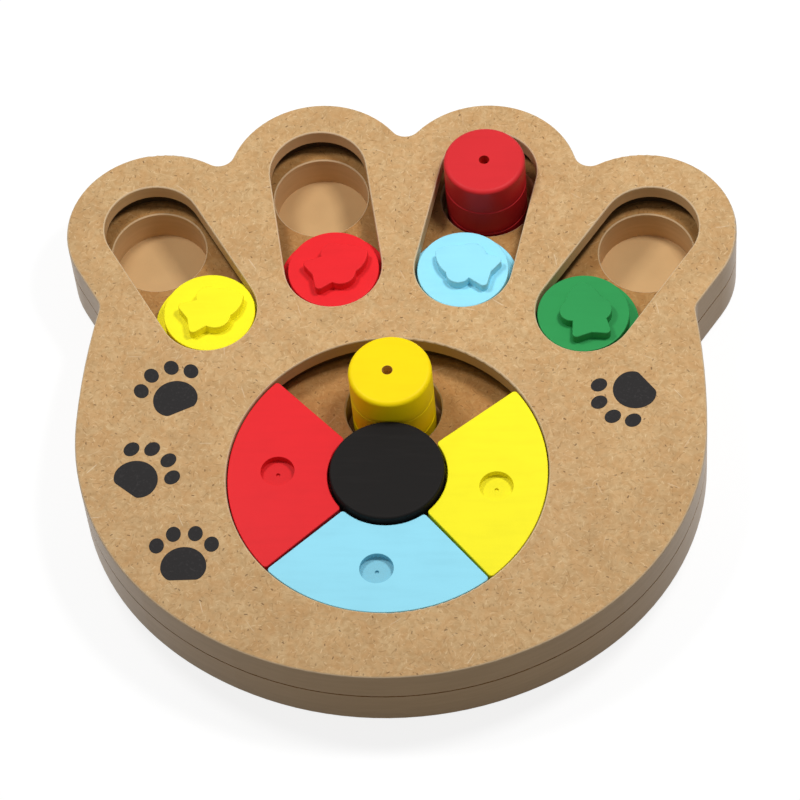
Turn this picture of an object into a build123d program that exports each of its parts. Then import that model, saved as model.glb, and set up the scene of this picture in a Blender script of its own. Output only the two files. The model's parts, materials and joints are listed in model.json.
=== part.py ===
from build123d import *
from math import asin, cos, degrees, radians, sin, sqrt
from types import SimpleNamespace
import os

# Paw-shaped puzzle board for a dog. Two glued boards hold treat wells, four discs that slide in
# undercut slots, three sectors that turn round a hub, and two pegs that lift out.
# The origin is the middle of the boards on their underside, with +Y towards the toes and +Z up.

# Boards
face_thickness = 14.0
base_thickness = 16.0
edge_ease = 0.8
seam_ease = 0.6
cut_overrun = 1.0

# Outline of the boards, with how far round the heel and flank arcs go, and how far the
# shoulders rise past the near ends of the outer slots
body_width = 232.6
heel_radius = 124.0
heel_sweep = 25.0
flank_radius = 101.0
flank_sweep = 45.0
flank_rise = 106.8
shoulder_radius = 300.0
shoulder_lap = 7.1
carousel_from_heel = 85.9
toe_wall = 13.4
toe_length = 46.0
notch_radius = 6.0
notch_least_turn = 5.0

# Slots in the face board, set apart by the walls between their undercuts
slot_radius = 18.4
slot_travel = 47.1
lip_thickness = 6.4
rabbet_width = 3.6
ring_wall = 10.6
inner_wall = 5.2
outer_wall = 6.2
outer_slot_bearing = -23.5
inner_slot_tilt = 10.4
outer_slot_tilt = 32.0

# How far each slot's far end lies from the middle of its toe
inner_slot_out = 0.9
inner_slot_up = 3.8
outer_slot_out = 2.8
outer_slot_up = 1.4

# Treat wells in the base board
well_margin = 0.4
well_floor = 2.0
well_inset = 2.8
well_ease = 0.5
carousel_well_count = 4

# Sliders
slide_clearance = 0.2
tongue_clearance = 1.4
slider_clearance = 1.2
stop_gap = 0.3
disc_recess = 1.0
paint_ease = 0.4

# Fish figures on the sliders, with the shares of each point along the length and half the width.
# The tail is set to the right of the body's middle line, and the body to the right of the disc's middle
fish_length = 24.0
fish_width = 19.0
fish_height = 4.0
fish_tail_round = 1.7
fish_tail_shift = 0.9
fish_side_slip = 0.6
tail_notch_shares = (0.035, 0.0)
tail_tip_shares = (-0.04, 0.8)
tail_root_shares = (0.38, 0.62)
left_fin_shares = ((0.29, 0.48), (0.41, 0.97), (0.66, 0.74))
right_fin_shares = ((0.24, -0.68), (0.37, -1.0), (0.675, -0.7))
left_cheek_shares = (0.87, 0.45)
right_cheek_shares = (0.87, -0.45)
nose_shares = (1.0, 0.0)
fish_headings = {"yellow": 24.8, "red": 26.3, "blue": 154.0, "green": 99.1}
fish_slip_shares = {"yellow": 0.08, "red": 0.09, "blue": -0.01, "green": -0.02}

# Carousel
opening_radius = 59.0
carousel_width = 38.0
carousel_turn_angle = -2.2
hub_rise = 1.8
hub_ease = 0.8
hub_gap = 1.0
cap_overhang = 6.0
neck_clearance = 0.5
cap_clearance = 0.7
sector_clearance = 1.0
plate_clearance = 0.4
sector_angle = 87.6
sector_rim_gap = 0.7
sector_throat_gap = 1.1
sector_corner = 1.4
dimple_radius = 6.25
dimple_depth = 2.8
pip_radius = 0.8
pip_depth = 0.8
dimple_turn_angles = {"red": -1.4, "blue": -0.8, "yellow": -2.6}

# Screw that holds the hub from beneath
screw_sink = 1.0
screw_cover = 4.8
screw_radius = 2.0
screw_head_radius = 4.2
screw_head_height = 2.4
screw_tip = 3.0
screw_clearance = 0.1
cross_length = 4.4
cross_width = 1.0
cross_depth = 1.4

# Pegs, each a stack of glued discs that stands loose in its well
peg_play = 2.5
peg_hub_gap = 0.3
peg_disc_thickness = 13.3
peg_round = 1.8
peg_seam_ease = 0.5
peg_hole_radius = 2.0
peg_hole_depth = 4.5
peg_play_shares = {"red": (-0.24, -0.4), "yellow": (0.0, 0.0)}
peg_hole_slip_shares = {"red": 0.0, "yellow": -0.06}

# Paw prints in ink, with the share of each one's way from the opening to the flank
ink_thickness = 0.1
pad_width = 16.7
pad_drop = 5.5
pad_flat_share = 0.63
pad_corner = 2.5
print_toe_width = 5.4
print_toe_length = 6.4
print_inner_toe = (4.0, 13.9)
print_outer_toe = (10.0, 9.2)
print_place_shares = (0.467, 0.581, 0.412, 0.665)
print_angles = (158.7, 182.5, 209.6, 22.1)
print_turns = (26.5, -37.3, 2.5, 129.5)

# Heights worked out from the sizes above
face_top = base_thickness + face_thickness
rabbet_height = face_thickness - lip_thickness
tongue_bottom = base_thickness + slide_clearance
tongue_thickness = rabbet_height - slide_clearance - tongue_clearance
tongue_top = tongue_bottom + tongue_thickness
paint_top = face_top - disc_recess
cap_bottom = tongue_top + cap_clearance
hub_top = face_top + hub_rise
screw_top = hub_top - screw_cover

# Play of a slider past the middle of its slot's round end, and the straight run between those ends
slide_slack = slider_clearance - stop_gap
slot_run = slot_travel - 2 * slide_slack

# Radii worked out from the sizes above
rabbet_radius = slot_radius + rabbet_width
ring_radius = opening_radius + rabbet_width
toe_radius = rabbet_radius + toe_wall
hub_radius = opening_radius - carousel_width
neck_radius = hub_radius - cap_overhang
well_radius = slot_radius - well_margin
peg_radius = well_radius - peg_play
screw_bore = screw_radius + screw_clearance
carousel_well_pitch = hub_radius + peg_hub_gap + peg_radius
dimple_pitch = (hub_radius + hub_gap + opening_radius - plate_clearance) / 2

# Places where the right-hand slots' near ends are centred, from the carousel's axis
inner_near_x = rabbet_radius + inner_wall / 2
inner_near_y = sqrt((ring_radius + ring_wall + rabbet_radius) ** 2 - inner_near_x**2)
outer_near_x = inner_near_x + (2 * rabbet_radius + outer_wall) * cos(radians(outer_slot_bearing))
outer_near_y = inner_near_y + (2 * rabbet_radius + outer_wall) * sin(radians(outer_slot_bearing))

# Places on the board
inner_toe_up = inner_near_y + slot_run * cos(radians(inner_slot_tilt)) - inner_slot_up
board_length = carousel_from_heel + inner_toe_up + toe_radius
carousel_y = carousel_from_heel - board_length / 2
carousel_axis = Axis((0, carousel_y, 0), (0, 0, 1))


def track_of(side, near_x, near_y, slot_out, slot_up, tilt):
    """Places of one slot and its toe. Side is -1 on the left and 1 on the right."""
    along = Vector(side * sin(radians(tilt)), cos(radians(tilt)))
    near = Vector(side * near_x, carousel_y + near_y)
    far = near + along * slot_run
    toe = far - Vector(side * slot_out, slot_up)
    return SimpleNamespace(
        angle=90 - side * tilt,
        toe_middle=toe - along * (toe_length / 2),
        slot_middle=near + along * (slot_run / 2),
        rest=near - along * slide_slack,
        well=far - along * well_inset,
    )


inner = (inner_near_x, inner_near_y, inner_slot_out, inner_slot_up, inner_slot_tilt)
outer = (outer_near_x, outer_near_y, outer_slot_out, outer_slot_up, outer_slot_tilt)
tracks = {
    "yellow": track_of(-1, *outer),
    "red": track_of(-1, *inner),
    "blue": track_of(1, *inner),
    "green": track_of(1, *outer),
}
sector_middles = {
    "red": 270 + carousel_turn_angle - sector_angle,
    "blue": 270 + carousel_turn_angle,
    "yellow": 270 + carousel_turn_angle + sector_angle,
}

os.makedirs("parts", exist_ok=True)


def save(piece, name):
    """Label a finished piece and write it as one STEP file."""
    piece.part.label = name
    export_step(piece.part, f"parts/{name}.step")


# Outline that both boards share
heel_y = heel_radius - board_length / 2
flank_x = body_width / 2 - flank_radius
flank_y = flank_rise - board_length / 2
shoulder_x = body_width / 2 - shoulder_radius
shoulder_rise = carousel_y + outer_near_y + shoulder_lap - flank_y
shoulder_turn = degrees(asin(shoulder_rise / shoulder_radius))


def heading_at(edge, corner):
    """Direction of an edge at whichever of its ends lies at the corner."""
    starts_here = (edge @ 0 - corner).length < (edge @ 1 - corner).length
    return edge % 0 if starts_here else edge % 1


def is_notch(vertex):
    """Whether the outline turns a corner at this vertex."""
    meeting = [edge for edge in outline.edges() if vertex in edge.vertices()]
    first, second = [heading_at(edge, Vector(vertex)) for edge in meeting]
    return notch_least_turn < first.get_angle(second) < 180 - notch_least_turn


with BuildSketch() as outline:
    with BuildLine():
        heel = CenterArc((0, heel_y), heel_radius, -90, heel_sweep)
        flank = CenterArc((flank_x, flank_y), flank_radius, -flank_sweep, flank_sweep)
        Spline(heel @ 1, flank @ 0, tangents=(heel % 1, flank % 0))
        shoulder = CenterArc((shoulder_x, flank_y), shoulder_radius, 0, shoulder_turn)
        mirror(about=Plane.YZ)
        Line(shoulder @ 1, (-(shoulder @ 1).X, (shoulder @ 1).Y))
    make_face()
    for track in tracks.values():
        with Locations(track.toe_middle):
            SlotCenterToCenter(toe_length, 2 * toe_radius, rotation=track.angle)
    fillet([vertex for vertex in outline.vertices() if is_notch(vertex)], notch_radius)


# Face board, with a lip over each undercut slot and over the round opening
with BuildPart() as face_board:
    with BuildSketch(Plane.XY.offset(base_thickness)):
        add(outline.sketch)
    extrude(amount=face_thickness)
    with BuildSketch(Plane.XY.offset(base_thickness - cut_overrun)):
        for track in tracks.values():
            with Locations(track.slot_middle):
                SlotCenterToCenter(slot_run, 2 * slot_radius, rotation=track.angle)
        with Locations((0, carousel_y)):
            Circle(opening_radius)
    extrude(amount=face_thickness + 2 * cut_overrun, mode=Mode.SUBTRACT)
    with BuildSketch(Plane.XY.offset(base_thickness - cut_overrun)):
        for track in tracks.values():
            with Locations(track.slot_middle):
                SlotCenterToCenter(slot_run, 2 * rabbet_radius, rotation=track.angle)
        with Locations((0, carousel_y)):
            Circle(ring_radius)
    extrude(amount=rabbet_height + cut_overrun, mode=Mode.SUBTRACT)
    fillet(face_board.faces().sort_by(Axis.Z)[-1].edges(), edge_ease)
    chamfer(face_board.faces().sort_by(Axis.Z)[0].outer_wire().edges(), seam_ease)
save(face_board, "face_board")


# Base board, with a well at the far end of each slot and a ring of wells under the carousel
with BuildPart() as base_board:
    with BuildSketch():
        add(outline.sketch)
    extrude(amount=base_thickness)
    with BuildSketch(Plane.XY.offset(well_floor)):
        with Locations(*[track.well for track in tracks.values()]):
            Circle(well_radius)
        with Locations((0, carousel_y)):
            with PolarLocations(carousel_well_pitch, carousel_well_count):
                Circle(well_radius)
    extrude(amount=base_thickness - well_floor + cut_overrun, mode=Mode.SUBTRACT)
    board_top = base_board.faces().sort_by(Axis.Z)[-1]
    chamfer([edge for rim in board_top.inner_wires() for edge in rim.edges()], well_ease)
    fillet(base_board.faces().sort_by(Axis.Z)[0].outer_wire().edges(), edge_ease)
    with BuildSketch(Plane.XZ.offset(-carousel_y)):
        with BuildLine():
            Polyline(
                (0, -cut_overrun),
                (screw_head_radius + screw_clearance, -cut_overrun),
                (screw_head_radius + screw_clearance, screw_sink),
                (screw_bore, screw_sink + screw_head_height),
                (screw_bore, base_thickness + cut_overrun),
                (0, base_thickness + cut_overrun),
                close=True,
            )
        make_face()
    revolve(axis=carousel_axis, mode=Mode.SUBTRACT)
save(base_board, "base_board")


# Hub: a neck on the base board and a wider cap that keeps the sectors down
with BuildPart() as hub_neck:
    with BuildSketch(Plane.XY.offset(base_thickness)):
        with Locations((0, carousel_y)):
            Circle(neck_radius)
            Circle(screw_bore, mode=Mode.SUBTRACT)
    extrude(amount=cap_bottom - base_thickness)
save(hub_neck, "hub_neck")

with BuildPart() as hub_cap:
    with BuildSketch(Plane.XY.offset(cap_bottom)):
        with Locations((0, carousel_y)):
            Circle(hub_radius)
    extrude(amount=hub_top - cap_bottom)
    fillet(hub_cap.edges().group_by(Axis.Z)[-1], hub_ease)
    with BuildSketch(Plane.XY.offset(cap_bottom - cut_overrun)):
        with Locations((0, carousel_y)):
            Circle(screw_bore)
    extrude(amount=screw_top + screw_clearance - cap_bottom + cut_overrun, mode=Mode.SUBTRACT)
save(hub_cap, "hub_cap")

with BuildPart() as hub_screw:
    with BuildSketch(Plane.XZ.offset(-carousel_y)):
        with BuildLine():
            Polyline(
                (0, screw_sink),
                (screw_head_radius, screw_sink),
                (screw_radius, screw_sink + screw_head_height),
                (screw_radius, screw_top - screw_tip),
                (0, screw_top),
                close=True,
            )
        make_face()
    revolve(axis=carousel_axis)
    with BuildSketch(Plane.XY.offset(screw_sink - cut_overrun)):
        with Locations((0, carousel_y)):
            Rectangle(cross_length, cross_width)
            Rectangle(cross_width, cross_length)
    extrude(amount=cross_depth + cut_overrun, mode=Mode.SUBTRACT)
save(hub_screw, "hub_screw")


# Sliders: a flange under the lip, a disc that fills the slot's width and a raised fish
def fish_point(shares):
    """Place of one outline point, from its shares of the length and of half the width."""
    return ((shares[0] - 0.5) * fish_length, shares[1] * fish_width / 2)


with BuildSketch() as fish_tail:
    with BuildLine():
        side = Polyline(*[fish_point(p) for p in (tail_notch_shares, tail_tip_shares, tail_root_shares)])
        mirror(about=Plane.XZ)
        Line(side @ 1, ((side @ 1).X, -(side @ 1).Y))
    make_face()
    fillet(fish_tail.vertices().group_by(Axis.X)[0], fish_tail_round)

with BuildSketch() as fish:
    with BuildLine():
        left_fin = ThreePointArc(*[fish_point(p) for p in left_fin_shares])
        right_fin = ThreePointArc(*[fish_point(p) for p in right_fin_shares])
        Line(left_fin @ 0, right_fin @ 0)
        ThreePointArc(left_fin @ 1, fish_point(left_cheek_shares), fish_point(nose_shares))
        ThreePointArc(right_fin @ 1, fish_point(right_cheek_shares), fish_point(nose_shares))
    make_face()
    with Locations((0, -fish_tail_shift)):
        add(fish_tail.sketch)

for colour, track in tracks.items():
    heading = fish_headings[colour]
    nose = Vector(cos(radians(heading)), sin(radians(heading)))
    right = Vector(nose.Y, -nose.X)
    fish_place = track.rest + nose * (fish_slip_shares[colour] * fish_length) + right * fish_side_slip

    with BuildPart() as flange:
        with BuildSketch(Plane.XY.offset(tongue_bottom)):
            with Locations(track.rest):
                Circle(rabbet_radius - slider_clearance)
        extrude(amount=tongue_thickness)
        fillet(flange.edges().group_by(Axis.Z)[-1], paint_ease)
    save(flange, f"slider_flange_{colour}")

    with BuildPart() as disc:
        with BuildSketch(Plane.XY.offset(tongue_top)):
            with Locations(track.rest):
                Circle(slot_radius - slider_clearance)
        extrude(amount=paint_top - tongue_top)
        fillet(disc.edges().group_by(Axis.Z)[-1], paint_ease)
    save(disc, f"slider_disc_{colour}")

    with BuildPart() as figure:
        with BuildSketch(Plane.XY.offset(paint_top)):
            with Locations(fish_place):
                add(fish.sketch, rotation=heading)
        extrude(amount=fish_height)
        fillet(figure.faces().sort_by(Axis.Z)[-1].edges(), paint_ease)
    save(figure, f"slider_fish_{colour}")


# Sectors: a wide tongue under the lip and the hub, and a plate that shows between them
def wedge(inner_radius, outer_radius, middle):
    """Ring sector about the carousel's axis, with rounded corners and a gap to each side."""
    rim_turn = sector_angle - 2 * degrees(asin(sector_rim_gap / 2 / outer_radius))
    throat_turn = sector_angle - 2 * degrees(asin(sector_throat_gap / 2 / inner_radius))
    with BuildSketch() as sector:
        with BuildLine():
            rim = CenterArc((0, carousel_y), outer_radius, middle - rim_turn / 2, rim_turn)
            throat = CenterArc((0, carousel_y), inner_radius, middle - throat_turn / 2, throat_turn)
            Line(rim @ 0, throat @ 0)
            Line(rim @ 1, throat @ 1)
        make_face()
        fillet(sector.vertices(), sector_corner)
    return sector.sketch


for colour, middle in sector_middles.items():
    tongue_shape = wedge(neck_radius + neck_clearance, ring_radius - sector_clearance, middle)
    plate_shape = wedge(hub_radius + hub_gap, opening_radius - plate_clearance, middle)
    dimple_angle = middle + dimple_turn_angles[colour]
    dimple_x = dimple_pitch * cos(radians(dimple_angle))
    dimple_y = carousel_y + dimple_pitch * sin(radians(dimple_angle))

    with BuildPart() as tongue:
        with BuildSketch(Plane.XY.offset(tongue_bottom)):
            add(tongue_shape)
        extrude(amount=tongue_thickness)
    save(tongue, f"sector_tongue_{colour}")

    with BuildPart() as plate:
        with BuildSketch(Plane.XY.offset(tongue_top)):
            add(plate_shape)
        extrude(amount=paint_top - tongue_top)
        fillet(plate.faces().sort_by(Axis.Z)[-1].edges(), paint_ease)
        with BuildSketch(Plane.XY.offset(paint_top - dimple_depth)):
            with Locations((dimple_x, dimple_y)):
                Circle(dimple_radius)
        extrude(amount=dimple_depth + cut_overrun, mode=Mode.SUBTRACT)
        with BuildSketch(Plane.XY.offset(paint_top - dimple_depth - pip_depth)):
            with Locations((dimple_x, dimple_y)):
                Circle(pip_radius)
        extrude(amount=pip_depth + cut_overrun, mode=Mode.SUBTRACT)
    save(plate, f"sector_plate_{colour}")


# Pegs: the red one stands in a toe's well and the yellow one in the carousel's open well
peg_wells = {"red": tracks["blue"].well, "yellow": Vector(0, carousel_y + carousel_well_pitch)}
for colour, well in peg_wells.items():
    place = well + Vector(*peg_play_shares[colour]) * peg_play
    hole_place = place + Vector(peg_hole_slip_shares[colour] * peg_radius, 0)
    for level, name in enumerate(("bottom", "middle", "top")):
        disc_bottom = well_floor + level * peg_disc_thickness
        with BuildPart() as peg_disc:
            with BuildSketch(Plane.XY.offset(disc_bottom)):
                with Locations(place):
                    Circle(peg_radius)
            extrude(amount=peg_disc_thickness)
            chamfer(peg_disc.edges().group_by(Axis.Z)[0], peg_seam_ease)
            if name == "top":
                fillet(peg_disc.edges().group_by(Axis.Z)[-1], peg_round)
                with BuildSketch(Plane.XY.offset(disc_bottom + peg_disc_thickness - peg_hole_depth)):
                    with Locations(hole_place):
                        Circle(peg_hole_radius)
                extrude(amount=peg_hole_depth + cut_overrun, mode=Mode.SUBTRACT)
            else:
                chamfer(peg_disc.edges().group_by(Axis.Z)[-1], peg_seam_ease)
        save(peg_disc, f"peg_{name}_{colour}")


# Paw prints: a rounded pad and four toes, each a thin film of ink on the face board
with BuildSketch() as paw:
    with BuildLine():
        crown = CenterArc((0, 0), pad_width / 2, 0, 180)
        side = TangentArc(crown @ 1, (-pad_flat_share * pad_width / 2, -pad_drop), tangent=(0, -1))
        mirror(side, about=Plane.YZ)
        Line(side @ 1, (-(side @ 1).X, (side @ 1).Y))
    make_face()
    fillet(paw.vertices().group_by(Axis.Y)[0], pad_corner)
    for toe_x, toe_y in (print_inner_toe, print_outer_toe):
        with Locations((-toe_x, toe_y), (toe_x, toe_y)):
            Ellipse(print_toe_width / 2, print_toe_length / 2)

with BuildPart() as paw_prints:
    for share, angle, turn in zip(print_place_shares, print_angles, print_turns):
        print_pitch = opening_radius + share * (body_width / 2 - opening_radius)
        print_x = print_pitch * cos(radians(angle))
        print_y = carousel_y + print_pitch * sin(radians(angle))
        with BuildSketch(Plane.XY.offset(face_top)):
            with Locations((print_x, print_y)):
                add(paw.sketch, rotation=turn)
        extrude(amount=ink_thickness)
save(paw_prints, "paw_prints")
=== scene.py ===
"""Looks of the paw-shaped puzzle board: finishes, light, floor and camera, in metres."""

import json
import math

import bpy
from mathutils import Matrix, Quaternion, Vector


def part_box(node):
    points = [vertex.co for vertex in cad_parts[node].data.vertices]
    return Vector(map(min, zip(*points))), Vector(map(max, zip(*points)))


MM = 0.001

# Camera, as the photograph was taken: metres, degrees, and millimetres for the lens and the sensor
AIM = Vector((0.00335, -0.00967, 0.030))
AZIMUTH = 7.536
ELEVATION = 56.50
ROLL = -6.09
DISTANCE = 1.49945
LENS = 183.08
SENSOR = 36.0
FARTHEST = 100.0

# Light and floor: strengths, a linear colour, lamp powers in watts, and sizes and places in metres
AMBIENT = 0.25
FLOOR_COLOUR = (0.25, 0.25, 0.25, 1.0)
FLOOR_GLOW = 0.82
FLOOR_REACH = 6.0
FLOOR_DROP = 0.02 * MM
LAMP_SIZE = 0.1
LAMPS = {"left": ((-0.19, 0.11, 0.50), 1.03), "right": ((0.19, 0.11, 0.50), 1.40)}

# Finishes, as sRGB colours
MDF_GROUND = (201, 165, 116)
MDF_WARM = (204, 150, 92)
MDF_PALE = (232, 203, 158)
MDF_DARK = (160, 122, 78)
MDF_SPECK = (98, 70, 42)
MDF_CORE = (207, 169, 119)
MDF_WALL = (206, 170, 124)
MDF_EDGE = (240, 222, 192)
# Painted shade, for the line in the seam's groove and on the undercuts' ceilings
MDF_PAINTED_SHADE = (84, 62, 42)
# Factor that darkens the base board's faces
BASE_DARKENING = (224, 203, 173)
PAINTS = {
    "red_paint": (233, 38, 44),
    "yellow_paint": (255, 244, 34),
    "blue_paint": (154, 228, 249),
    "green_paint": (46, 148, 79),
}
PEG_PAINTS = {"red": (211, 45, 50), "yellow": (252, 220, 2)}
PEG_SIDES = {"red": (178, 32, 33), "yellow": (255, 226, 4)}
PEG_HOLES = {"red": (196, 40, 32), "yellow": (212, 172, 88)}
HUB_BLACK = (30, 28, 27)
INK = (42, 40, 40)
STEEL = (168, 168, 170)

# Linear colours
BLACK = (0.0, 0.0, 0.0, 1.0)
WHITE = (1.0, 1.0, 1.0, 1.0)

# Shares of the fibreboard's second colours, where each is strongest
GROUND_SHARE = 0.68
CLOUD_SHARE = 0.28
GRAIN_SHARE = 0.1
WARM_SHARE = 0.3
CORE_SHARE = 0.15
LAYER_SHARE = 0.16
FACE_EDGE_SHARE = 0.35
BASE_EDGE_SHARE = 0.2
# The last two are shares of painted shade: on the undercuts' ceilings and in the seam's groove
CEILING_SHADE_SHARE = 0.75
SEAM_SHADE_SHARE = 0.45

# Straws in the fibreboard's faces: spacing, length and width in millimetres, bend and shift in
# shares of the spacing, then the share and the colour
STRAWS = [
    (3.4, 2.2, 0.55, 0.3, (0.0, 0.0, 0.0), 0.45, MDF_PALE),
    (2.4, 1.7, 0.4, 0.3, (57.0, 23.0, 0.0), 0.4, MDF_PALE),
    (4.6, 3.4, 0.5, 0.3, (31.0, 17.0, 0.0), 0.6, MDF_DARK),
    (19.0, 6.0, 0.5, 0.16, (7.0, 53.0, 0.0), 0.4, MDF_EDGE),
    (5.6, 1.3, 0.65, 0.25, (3.0, 91.0, 0.0), 0.75, MDF_SPECK),
    (3.1, 0.9, 0.5, 0.25, (71.0, 5.0, 0.0), 0.4, MDF_SPECK),
]

# Paint: shares of its deeper tone, where each is strongest, and that tone's gain
PAINT_CLOUD_SHARE = 0.16
PAINT_STREAK_SHARE = 0.14
PAINT_DEEP_GAIN = 0.8

# Shares of black as painted shade on walls in the opening, on the undercuts' walls and floors, and below
# the sectors' tops
OPENING_PAINTED_SHADE = 0.3
UNDERCUT_WALL_PAINTED_SHADE = 0.9
UNDERCUT_FLOOR_PAINTED_SHADE = 0.55
SUNK_PAINTED_SHADES = {"red": 0.1, "blue": 0.24, "yellow": 0.1}

# Roughness of the fibreboard
WALL_ROUGHNESS = 0.26
FACE_ROUGHNESS = 0.5

# The painted shade line in the groove on the walls, in millimetres from where the boards meet: how far down
# it starts, and how far up it is full and ends. The base board's finish goes up as far as the margin.
SEAM_START = 0.1
SEAM_FULL = 0.5
SEAM_END = 0.8
SEAM_MARGIN = 1.0

# Sizes in millimetres: the round opening, the room round a disc in its slot, and the undercuts, with
# how far beyond a lip their painted shade starts, is full and ends. The margin is a factor that keeps the
# opening's wall inside.
OPENING_RADIUS = 59.0
OPENING_MARGIN = 1.005
SLOT_CLEARANCE = 0.3
UNDERCUT_HEIGHT = 7.6
SHADE_START = 1.9
SHADE_FULL = 3.5
SHADE_END = 6.0

# Sizes in millimetres: how far below a sector's top its painted shade starts, and the holes in the pegs'
# tops, with how far each lies to the right of its peg's middle. The margin is a factor that keeps a hole's
# wall inside.
SUNK_STEP = 0.5
PEG_HOLE_RADIUS = 2.0
PEG_HOLE_MARGIN = 1.02
PEG_HOLE_SLIPS = {"red": 0.0, "yellow": -0.93}


def linear(colour, gain=1.0):
    """Linear RGBA of an sRGB colour given from 0 to 255, times a gain."""
    shares = [channel / 255 for channel in colour]
    light = [c / 12.92 if c <= 0.04045 else ((c + 0.055) / 1.055) ** 2.4 for c in shares]
    return [c * gain for c in light] + [1.0]


def middle(node):
    """Middle of a node's box, in millimetres."""
    low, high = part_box(node)
    return (low + high) / 2 / MM


class Finish:
    """One material, with short calls that add nodes to it."""

    def __init__(self, name):
        self.material = bpy.data.materials.new(name)
        self.material.use_nodes = True
        self.nodes = self.material.node_tree.nodes
        self.links = self.material.node_tree.links
        self.shader = self.nodes["Principled BSDF"]
        self.place = self.node("ShaderNodeTexCoord")
        scale = self.node("ShaderNodeVectorMath", operation="SCALE")
        self.feed(scale.inputs[0], self.place.outputs["Object"])
        scale.inputs["Scale"].default_value = 1 / MM
        self.millimetres = scale.outputs[0]

    def node(self, kind, **settings):
        """A new node with the given settings."""
        made = self.nodes.new(kind)
        for name, value in settings.items():
            setattr(made, name, value)
        return made

    def feed(self, socket, value):
        """Link a socket to another, or set its own value."""
        if isinstance(value, bpy.types.NodeSocket):
            self.links.new(value, socket)
        else:
            socket.default_value = value

    def math(self, operation, first, second=0.0, third=0.0):
        """Result of one sum."""
        made = self.node("ShaderNodeMath", operation=operation)
        for socket, value in zip(made.inputs, (first, second, third)):
            self.feed(socket, value)
        return made.outputs[0]

    def both(self, first, second):
        """Mask of the places that lie in two masks."""
        return self.math("MULTIPLY", first, second)

    def ramp(self, value, low, high, to_low=0.0, to_high=1.0):
        """Value carried smoothly from one range to another, and held at its ends."""
        made = self.node("ShaderNodeMapRange", interpolation_type="SMOOTHSTEP")
        for socket, number in zip(made.inputs, (value, low, high, to_low, to_high)):
            self.feed(socket, number)
        return made.outputs[0]

    def mix(self, share, first, second, blend="MIX"):
        """Colour between two colours."""
        made = self.node("ShaderNodeMix", data_type="RGBA", blend_type=blend)
        self.feed(made.inputs["Factor"], share)
        self.feed(made.inputs["A"], first)
        self.feed(made.inputs["B"], second)
        return made.outputs["Result"]

    def stretched(self, scales, shift=(0.0, 0.0, 0.0)):
        """The place in millimetres, scaled along each axis and then shifted."""
        made = self.node("ShaderNodeMapping")
        self.feed(made.inputs["Vector"], self.millimetres)
        made.inputs["Scale"].default_value = scales
        made.inputs["Location"].default_value = shift
        return made.outputs[0]

    def noise(self, size, detail, vector=None, roughness=0.5, swirl=0.0):
        """Soft random value, with lumps about as large as the given size in millimetres."""
        made = self.node("ShaderNodeTexNoise", noise_dimensions="3D")
        self.feed(made.inputs["Vector"], vector or self.millimetres)
        made.inputs["Scale"].default_value = 1 / size
        made.inputs["Detail"].default_value = detail
        made.inputs["Roughness"].default_value = roughness
        made.inputs["Distortion"].default_value = swirl
        return made.outputs["Fac"]

    def surface(self, colour, roughness, specular):
        """Give the shader its colour, its roughness and its specular level."""
        self.feed(self.shader.inputs["Base Color"], colour)
        self.feed(self.shader.inputs["Roughness"], roughness)
        self.shader.inputs["Specular IOR Level"].default_value = specular

    def bump(self, height, strength, distance):
        """Give the shader a relief, from a height in shares of a distance in millimetres."""
        made = self.node("ShaderNodeBump")
        made.inputs["Strength"].default_value = strength
        made.inputs["Distance"].default_value = distance * MM
        self.feed(made.inputs["Height"], height)
        self.feed(self.shader.inputs["Normal"], made.outputs[0])

    def upward(self, vector):
        """Upward part of a vector."""
        parts = self.node("ShaderNodeSeparateXYZ")
        self.feed(parts.inputs[0], vector)
        return parts.outputs["Z"]

    def facing_up(self):
        """How far the surface faces up in its own frame, from -1 to 1."""
        return self.upward(self.place.outputs["Normal"])

    def height(self):
        """Height of the surface in its own frame, in millimetres."""
        return self.upward(self.millimetres)

    def from_axis(self, x, y):
        """Distance from an upright axis, in millimetres."""
        return self.from_run((x, y), (0.0, 1.0), 0.0)

    def from_run(self, start, along, travel):
        """Level distance from a straight run with a start, a heading and a length, in millimetres."""
        flat = self.node("ShaderNodeVectorMath", operation="MULTIPLY")
        self.feed(flat.inputs[0], self.millimetres)
        flat.inputs[1].default_value = (1.0, 1.0, 0.0)
        away = self.node("ShaderNodeVectorMath", operation="SUBTRACT")
        self.feed(away.inputs[0], flat.outputs[0])
        away.inputs[1].default_value = (*start, 0.0)
        gone = self.node("ShaderNodeVectorMath", operation="DOT_PRODUCT")
        self.feed(gone.inputs[0], away.outputs[0])
        gone.inputs[1].default_value = (*along, 0.0)
        held = self.math("MINIMUM", self.math("MAXIMUM", gone.outputs["Value"], 0.0), travel)
        run = self.node("ShaderNodeVectorMath", operation="SCALE")
        run.inputs[0].default_value = (*along, 0.0)
        self.feed(run.inputs["Scale"], held)
        left = self.node("ShaderNodeVectorMath", operation="DISTANCE")
        self.feed(left.inputs[0], away.outputs[0])
        self.feed(left.inputs[1], run.outputs[0])
        return left.outputs["Value"]


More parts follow.
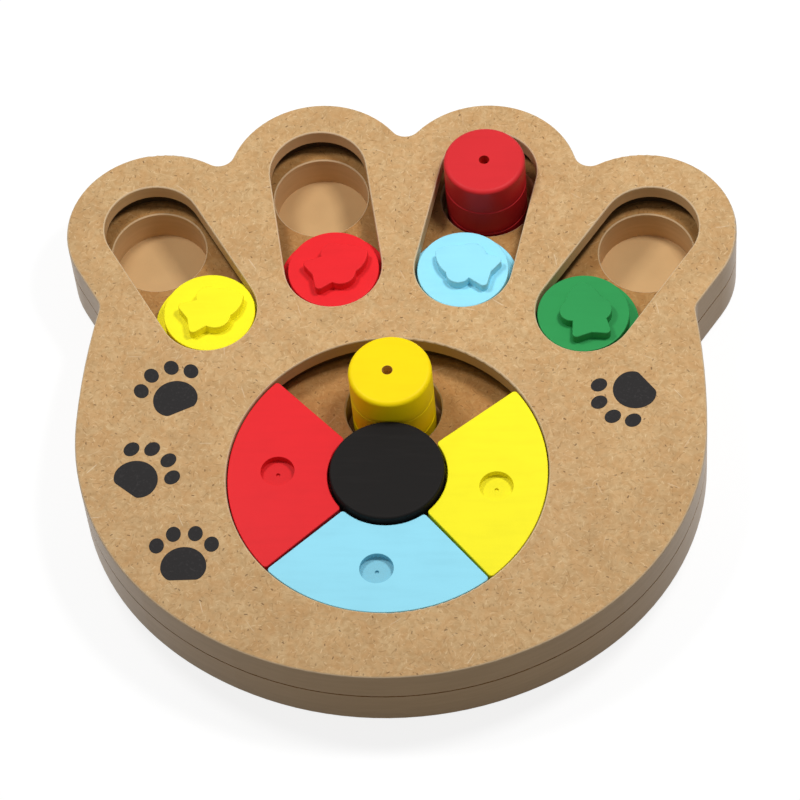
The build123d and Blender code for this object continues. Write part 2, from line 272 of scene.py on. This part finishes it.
class Fibreboard(Finish):
    """The boards' finish: flecked faces, smooth cut walls and well floors, and a painted shade line at the
    seam.
    """

    def __init__(self):
        super().__init__("fibreboard")
        self.seam_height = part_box("base_board")[1].z / MM
        self.level = self.height()
        self.facing = self.facing_up()
        flat = self.math("ABSOLUTE", self.facing)
        self.face = self.ramp(flat, 0.75, 0.98)
        self.edge = self.both(self.ramp(flat, 0.08, 0.3), self.ramp(flat, 0.85, 0.99, 1.0, 0.0))
        self.on_base = self.math("LESS_THAN", self.level, self.seam_height + SEAM_MARGIN)
        self.cloud = self.noise(size=16.0, detail=2.0)
        self.grain = self.noise(size=0.5, detail=1.0)

    def straws(self, spacing, length, width, bend, shift):
        """Mask of short bent straws that lie every way on a flat face."""
        vector = self.stretched((1 / spacing,) * 3, shift)
        wander = self.node("ShaderNodeTexNoise")
        self.feed(wander.inputs["Vector"], vector)
        wander.inputs["Scale"].default_value = 1.6
        wander.inputs["Detail"].default_value = 1.0
        bent = self.node("ShaderNodeVectorMath", operation="MULTIPLY_ADD")
        self.feed(bent.inputs[0], wander.outputs["Color"])
        bent.inputs[1].default_value = (bend,) * 3
        self.feed(bent.inputs[2], vector)
        cells = self.node("ShaderNodeTexVoronoi", voronoi_dimensions="2D")
        self.feed(cells.inputs["Vector"], bent.outputs[0])
        cells.inputs["Scale"].default_value = 1.0
        chance = self.node("ShaderNodeSeparateColor")
        self.feed(chance.inputs[0], cells.outputs["Color"])
        away = self.node("ShaderNodeVectorMath", operation="SUBTRACT")
        self.feed(away.inputs[0], bent.outputs[0])
        self.feed(away.inputs[1], cells.outputs["Position"])
        turned = self.node("ShaderNodeVectorRotate", rotation_type="Z_AXIS")
        self.feed(turned.inputs["Vector"], away.outputs[0])
        self.feed(turned.inputs["Angle"], self.math("MULTIPLY", chance.outputs["Red"], math.tau))
        parts = self.node("ShaderNodeSeparateXYZ")
        self.feed(parts.inputs[0], turned.outputs[0])
        along = self.math("ABSOLUTE", parts.outputs["X"])
        across = self.math("ABSOLUTE", parts.outputs["Y"])
        half_length = length / spacing / 2
        half_width = width / spacing / 2
        solid_length = half_length * 0.6
        solid_width = half_width * 0.4
        short = self.ramp(along, solid_length, half_length, 1.0, 0.0)
        narrow = self.ramp(across, solid_width, half_width, 1.0, 0.0)
        return self.both(self.both(short, narrow), chance.outputs["Green"])

    def flecked(self):
        """Colour of a flecked face, and the mask of its broad pale straws."""
        blotch = self.noise(size=3.0, detail=2.0, roughness=0.6, swirl=1.2)
        elsewhere = self.stretched((1.0, 1.0, 1.0), shift=(13.0, 41.0, 5.0))
        tint = self.noise(size=5.0, detail=2.0, vector=elsewhere, swirl=1.0)
        dark = linear(MDF_DARK)
        colour = self.mix(self.ramp(blotch, 0.25, 0.75), dark, linear(MDF_PALE))
        colour = self.mix(GROUND_SHARE, colour, linear(MDF_GROUND))
        colour = self.mix(self.ramp(self.cloud, 0.35, 0.7, 0.0, CLOUD_SHARE), colour, dark)
        colour = self.mix(self.ramp(self.grain, 0.3, 0.7, 0.0, GRAIN_SHARE), colour, dark)
        colour = self.mix(self.ramp(tint, 0.3, 0.7, 0.0, WARM_SHARE), colour, linear(MDF_WARM))
        masks = []
        for *sizes, share, shade in STRAWS:
            mask = self.straws(*sizes)
            colour = self.mix(self.math("MULTIPLY", mask, share), colour, linear(shade))
            masks.append(mask)
        # The base board's faces are darker
        darker_base = self.mix(1.0, colour, linear(BASE_DARKENING), "MULTIPLY")
        return self.mix(self.on_base, colour, darker_base), masks[0]

    def cut(self, colour):
        """Colour with smooth well floors, layered walls, paler edges and painted shade on the undercuts'
        ceilings.
        """
        dark = linear(MDF_DARK)
        deep = self.math("LESS_THAN", self.level, self.seam_height / 2)
        in_well = self.both(deep, self.ramp(self.facing, 0.0, 0.5))
        core = self.mix(self.ramp(self.cloud, 0.35, 0.7, 0.0, CORE_SHARE), linear(MDF_CORE), dark)
        colour = self.mix(in_well, colour, core)
        layers = self.noise(size=1.0, detail=2.0, vector=self.stretched((0.05, 0.05, 0.5)))
        wall = self.mix(self.ramp(layers, 0.3, 0.7, 0.0, LAYER_SHARE), linear(MDF_WALL), dark)
        colour = self.mix(self.face, wall, colour)
        paler = self.math("MULTIPLY_ADD", self.on_base, BASE_EDGE_SHARE - FACE_EDGE_SHARE, FACE_EDGE_SHARE)
        colour = self.mix(self.math("MULTIPLY", self.edge, paler), colour, linear(MDF_EDGE))
        # Painted shade on the undercuts' ceilings
        on_face_board = self.math("GREATER_THAN", self.level, self.seam_height + SEAM_MARGIN)
        painted_ceiling_shade = self.both(self.math("LESS_THAN", self.facing, -0.5), on_face_board)
        return self.mix(self.math("MULTIPLY", painted_ceiling_shade, CEILING_SHADE_SHARE), colour, linear(MDF_PAINTED_SHADE))

    def with_painted_shade(self, colour, joints):
        """Colour with painted shade: darker walls in the round opening, and dark undercuts."""
        hub = middle("hub_cap")
        from_hub = self.from_axis(hub.x, hub.y)
        in_opening = self.math("LESS_THAN", from_hub, OPENING_RADIUS * OPENING_MARGIN)
        painted_wall_shade = self.both(in_opening, self.ramp(self.face, 0.0, 1.0, OPENING_PAINTED_SHADE, 0.0))
        colour = self.mix(painted_wall_shade, colour, BLACK)
        beyond = self.beyond_openings(from_hub, joints)
        near_lip = self.math("LESS_THAN", beyond, SHADE_END)
        around = self.both(self.ramp(beyond, SHADE_START, SHADE_FULL), near_lip)
        half = UNDERCUT_HEIGHT / 2
        slack = 0.1
        below_lip = self.math("COMPARE", self.level, self.seam_height + half, half + slack)
        painted_undercut_shade = self.ramp(self.face, 0.0, 1.0, UNDERCUT_WALL_PAINTED_SHADE, UNDERCUT_FLOOR_PAINTED_SHADE)
        return self.mix(self.both(self.both(around, below_lip), painted_undercut_shade), colour, BLACK)

    def beyond_openings(self, from_hub, joints):
        """How far a place lies outside the round opening and the slots, in millimetres."""
        slides = [joint for joint in joints if joint["child"].startswith("slider")]
        travel = max(joint["range_m"][1] for joint in slides) / MM
        beyond = self.math("SUBTRACT", from_hub, OPENING_RADIUS)
        for joint in slides:
            disc = joint["child"].replace("slider", "slider_disc")
            low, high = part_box(disc)
            radius = (high.x - low.x) / 2 / MM + SLOT_CLEARANCE
            away = self.from_run(middle(disc).xy, joint["axis"][:2], travel)
            beyond = self.math("MINIMUM", beyond, self.math("SUBTRACT", away, radius))
        return beyond

    def with_seam_shade(self, colour):
        """Colour with a thin dark line of painted shade on the walls, in the groove where the boards meet.
        """
        meet = self.seam_height
        start = self.ramp(self.level, meet - SEAM_START, meet)
        end = self.ramp(self.level, meet + SEAM_FULL, meet + SEAM_END, 1.0, 0.0)
        on_wall = self.ramp(self.face, 0.0, 0.5, 1.0, 0.0)
        seam_line_shade = self.both(self.both(start, end), on_wall)
        return self.mix(self.math("MULTIPLY", seam_line_shade, SEAM_SHADE_SHARE), colour, linear(MDF_PAINTED_SHADE))


def fibreboard(joints):
    """Fibreboard, rougher and with a slight relief on its faces."""
    finish = Fibreboard()
    colour, pale_straws = finish.flecked()
    colour = finish.with_seam_shade(finish.with_painted_shade(finish.cut(colour), joints))
    smoothest = finish.ramp(finish.face, 0.0, 1.0, WALL_ROUGHNESS, FACE_ROUGHNESS)
    roughness = finish.math("MULTIPLY_ADD", finish.grain, 0.12, smoothest)
    finish.surface(colour, roughness, specular=0.12)
    relief = finish.both(finish.math("ADD", finish.grain, pale_straws), finish.face)
    finish.bump(relief, strength=0.3, distance=0.05)
    return finish.material


def paint(name, colour, painted_shade_below=None, peg=None):
    """Satin paint, slightly uneven, with painted shade below a given top, or a peg's sides and hole."""
    finish = Finish(name)
    cloud = finish.noise(size=14.0, detail=3.0)
    streaks = finish.noise(size=1.0, detail=2.0, vector=finish.stretched((0.05, 0.35, 0.35)))
    peel = finish.noise(size=0.7, detail=2.0)
    cloudy = finish.ramp(cloud, 0.4, 0.75, 0.0, PAINT_CLOUD_SHARE)
    streaky = finish.ramp(streaks, 0.4, 0.75, 0.0, PAINT_STREAK_SHARE)
    uneven = finish.math("ADD", cloudy, streaky)
    shade = finish.mix(uneven, linear(colour), linear(colour, PAINT_DEEP_GAIN))
    if painted_shade_below:
        top, share = painted_shade_below
        # Painted shade in the dimples and on the sides below the top
        in_painted_shade = finish.math("LESS_THAN", finish.height(), top - SUNK_STEP)
        shade = finish.mix(finish.math("MULTIPLY", in_painted_shade, share), shade, BLACK)
    if peg:
        on_side = finish.ramp(finish.facing_up(), 0.2, 0.9, 1.0, 0.0)
        shade = finish.mix(on_side, shade, linear(PEG_SIDES[peg]))
        axis = middle(f"peg_top_{peg}")
        from_hole = finish.from_axis(axis.x + PEG_HOLE_SLIPS[peg], axis.y)
        in_hole = finish.math("LESS_THAN", from_hole, PEG_HOLE_RADIUS * PEG_HOLE_MARGIN)
        shade = finish.mix(in_hole, shade, linear(PEG_HOLES[peg]))
    finish.surface(shade, finish.math("MULTIPLY_ADD", peel, 0.14, 0.38), specular=0.12)
    finish.bump(peel, strength=0.1, distance=0.04)
    return finish.material


def black_stain():
    """Black stain that shows a faint grain."""
    finish = Finish("black_stain")
    grain = finish.noise(size=1.0, detail=3.0, vector=finish.stretched((0.06, 0.5, 0.5)))
    streaky = finish.ramp(grain, 0.45, 0.75, 0.0, 0.7)
    colour = finish.mix(streaky, linear(HUB_BLACK), linear(HUB_BLACK, gain=1.25))
    finish.surface(colour, finish.math("MULTIPLY_ADD", grain, 0.12, 0.45), specular=0.05)
    finish.bump(grain, strength=0.08, distance=0.05)
    return finish.material


def screen_ink():
    """Flat black ink that sinks a little into the fibres."""
    finish = Finish("screen_ink")
    mottle = finish.noise(size=0.9, detail=3.0)
    colour = finish.mix(finish.ramp(mottle, 0.5, 0.8), linear(INK), linear(INK, gain=1.8))
    finish.surface(colour, finish.math("MULTIPLY_ADD", mottle, 0.2, 0.5), specular=0.08)
    finish.bump(mottle, strength=0.2, distance=0.04)
    return finish.material


def screw_steel():
    """Zinc-plated steel with turning marks."""
    finish = Finish("screw_steel")
    marks = finish.noise(size=0.4, detail=2.0, vector=finish.stretched((1.0, 1.0, 4.0)))
    colour = finish.mix(marks, linear(STEEL), linear(STEEL, gain=1.25))
    finish.surface(colour, finish.math("MULTIPLY_ADD", marks, 0.2, 0.25), specular=0.5)
    finish.shader.inputs["Metallic"].default_value = 1.0
    return finish.material


def dress(nodes, record):
    """Give every node of the frame its own finish, or else that of its material slot."""
    finishes = {slot: paint(slot, colour) for slot, colour in PAINTS.items()}
    for colour, tone in PEG_PAINTS.items():
        finishes[f"peg_{colour}"] = paint(f"peg_{colour}", tone, peg=colour)
    for colour, share in SUNK_PAINTED_SHADES.items():
        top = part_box(f"sector_plate_{colour}")[1].z / MM
        tone = PAINTS[f"{colour}_paint"]
        finishes[f"sector_{colour}"] = paint(f"sector_{colour}", tone, painted_shade_below=(top, share))
    finishes["mdf"] = fibreboard(record["behaviour"]["joints"])
    finishes["black_paint"] = black_stain()
    finishes["ink"] = screen_ink()
    finishes["screw_steel"] = screw_steel()
    for row in record["subparts"]:
        node = nodes[row["node"]]
        words = row["node"].split("_")
        own = f"{words[0]}_{words[-1]}"
        node.data.materials.clear()
        node.data.materials.append(finishes[own if own in finishes else row["material_slot"]])


def camera():
    """Camera at the photograph's viewing angle."""
    data = bpy.data.cameras.new("camera")
    data.lens = LENS
    data.sensor_width = SENSOR
    data.clip_end = FARTHEST
    made = bpy.data.objects.new("camera", data)
    bpy.context.scene.collection.objects.link(made)
    azimuth = math.radians(AZIMUTH)
    elevation = math.radians(ELEVATION)
    level = math.cos(elevation)
    back = Vector((math.sin(azimuth) * level, -math.cos(azimuth) * level, math.sin(elevation)))
    made.location = AIM + back * DISTANCE
    made.rotation_mode = "QUATERNION"
    upright = (-back).to_track_quat("-Z", "Y")
    made.rotation_quaternion = upright @ Quaternion((0, 0, 1), math.radians(ROLL))
    bpy.context.scene.camera = made


def lamp(name, place, power):
    """Square soft box at a place, turned towards the origin."""
    data = bpy.data.lights.new(name, "AREA")
    data.size = LAMP_SIZE
    data.energy = power
    made = bpy.data.objects.new(name, data)
    made.location = place
    made.rotation_mode = "QUATERNION"
    made.rotation_quaternion = (-Vector(place)).to_track_quat("-Z", "Y")
    bpy.context.scene.collection.objects.link(made)


def seen_ray(tree):
    """1 for what the camera sees by itself, in a gloss or through glass, and 0 for other light."""
    path = tree.nodes.new("ShaderNodeLightPath")
    total = path.outputs["Is Camera Ray"]
    for name in ("Is Glossy Ray", "Is Transmission Ray"):
        either = tree.nodes.new("ShaderNodeMath")
        either.operation = "MAXIMUM"
        tree.links.new(total, either.inputs[0])
        tree.links.new(path.outputs[name], either.inputs[1])
        total = either.outputs[0]
    return total


def studio():
    """World that is white where it is seen, and dimmer as a light."""
    world = bpy.data.worlds.new("studio")
    bpy.context.scene.world = world
    world.use_nodes = True
    tree = world.node_tree
    background = tree.nodes["Background"]
    background.inputs["Color"].default_value = WHITE
    level = tree.nodes.new("ShaderNodeMapRange")
    tree.links.new(seen_ray(tree), level.inputs["Value"])
    level.inputs["To Min"].default_value = AMBIENT
    level.inputs["To Max"].default_value = 1.0
    tree.links.new(level.outputs[0], background.inputs["Strength"])


def white_floor():
    """Floor that is white where it is seen, and keeps the shadow."""
    mesh = bpy.data.meshes.new("floor")
    turns = ((-1, -1), (1, -1), (1, 1), (-1, 1))
    corners = [(x * FLOOR_REACH, y * FLOOR_REACH, 0.0) for x, y in turns]
    mesh.from_pydata(corners, [], [(0, 1, 2, 3)])
    floor = bpy.data.objects.new("floor", mesh)
    floor.location.z = -FLOOR_DROP
    bpy.context.scene.collection.objects.link(floor)
    material = bpy.data.materials.new("floor")
    material.use_nodes = True
    tree = material.node_tree
    shader = tree.nodes["Principled BSDF"]
    shader.inputs["Base Color"].default_value = FLOOR_COLOUR
    shader.inputs["Roughness"].default_value = 0.9
    shader.inputs["Specular IOR Level"].default_value = 0.0
    shader.inputs["Emission Color"].default_value = WHITE
    glow = tree.nodes.new("ShaderNodeMath")
    glow.operation = "MULTIPLY"
    tree.links.new(seen_ray(tree), glow.inputs[0])
    glow.inputs[1].default_value = FLOOR_GLOW
    tree.links.new(glow.outputs[0], shader.inputs["Emission Strength"])
    mesh.materials.append(material)


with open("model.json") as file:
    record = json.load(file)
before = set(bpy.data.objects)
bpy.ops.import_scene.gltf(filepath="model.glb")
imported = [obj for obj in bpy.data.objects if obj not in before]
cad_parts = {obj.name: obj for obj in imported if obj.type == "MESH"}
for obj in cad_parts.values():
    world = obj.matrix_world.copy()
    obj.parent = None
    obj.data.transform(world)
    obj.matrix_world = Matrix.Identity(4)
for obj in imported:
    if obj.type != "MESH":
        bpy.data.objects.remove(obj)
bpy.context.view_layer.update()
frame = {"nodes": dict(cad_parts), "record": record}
bpy.context.scene.view_settings.view_transform = "Standard"
camera()
dress(frame["nodes"], frame["record"])
studio()
white_floor()
for name, (place, power) in LAMPS.items():
    lamp(name, place, power)
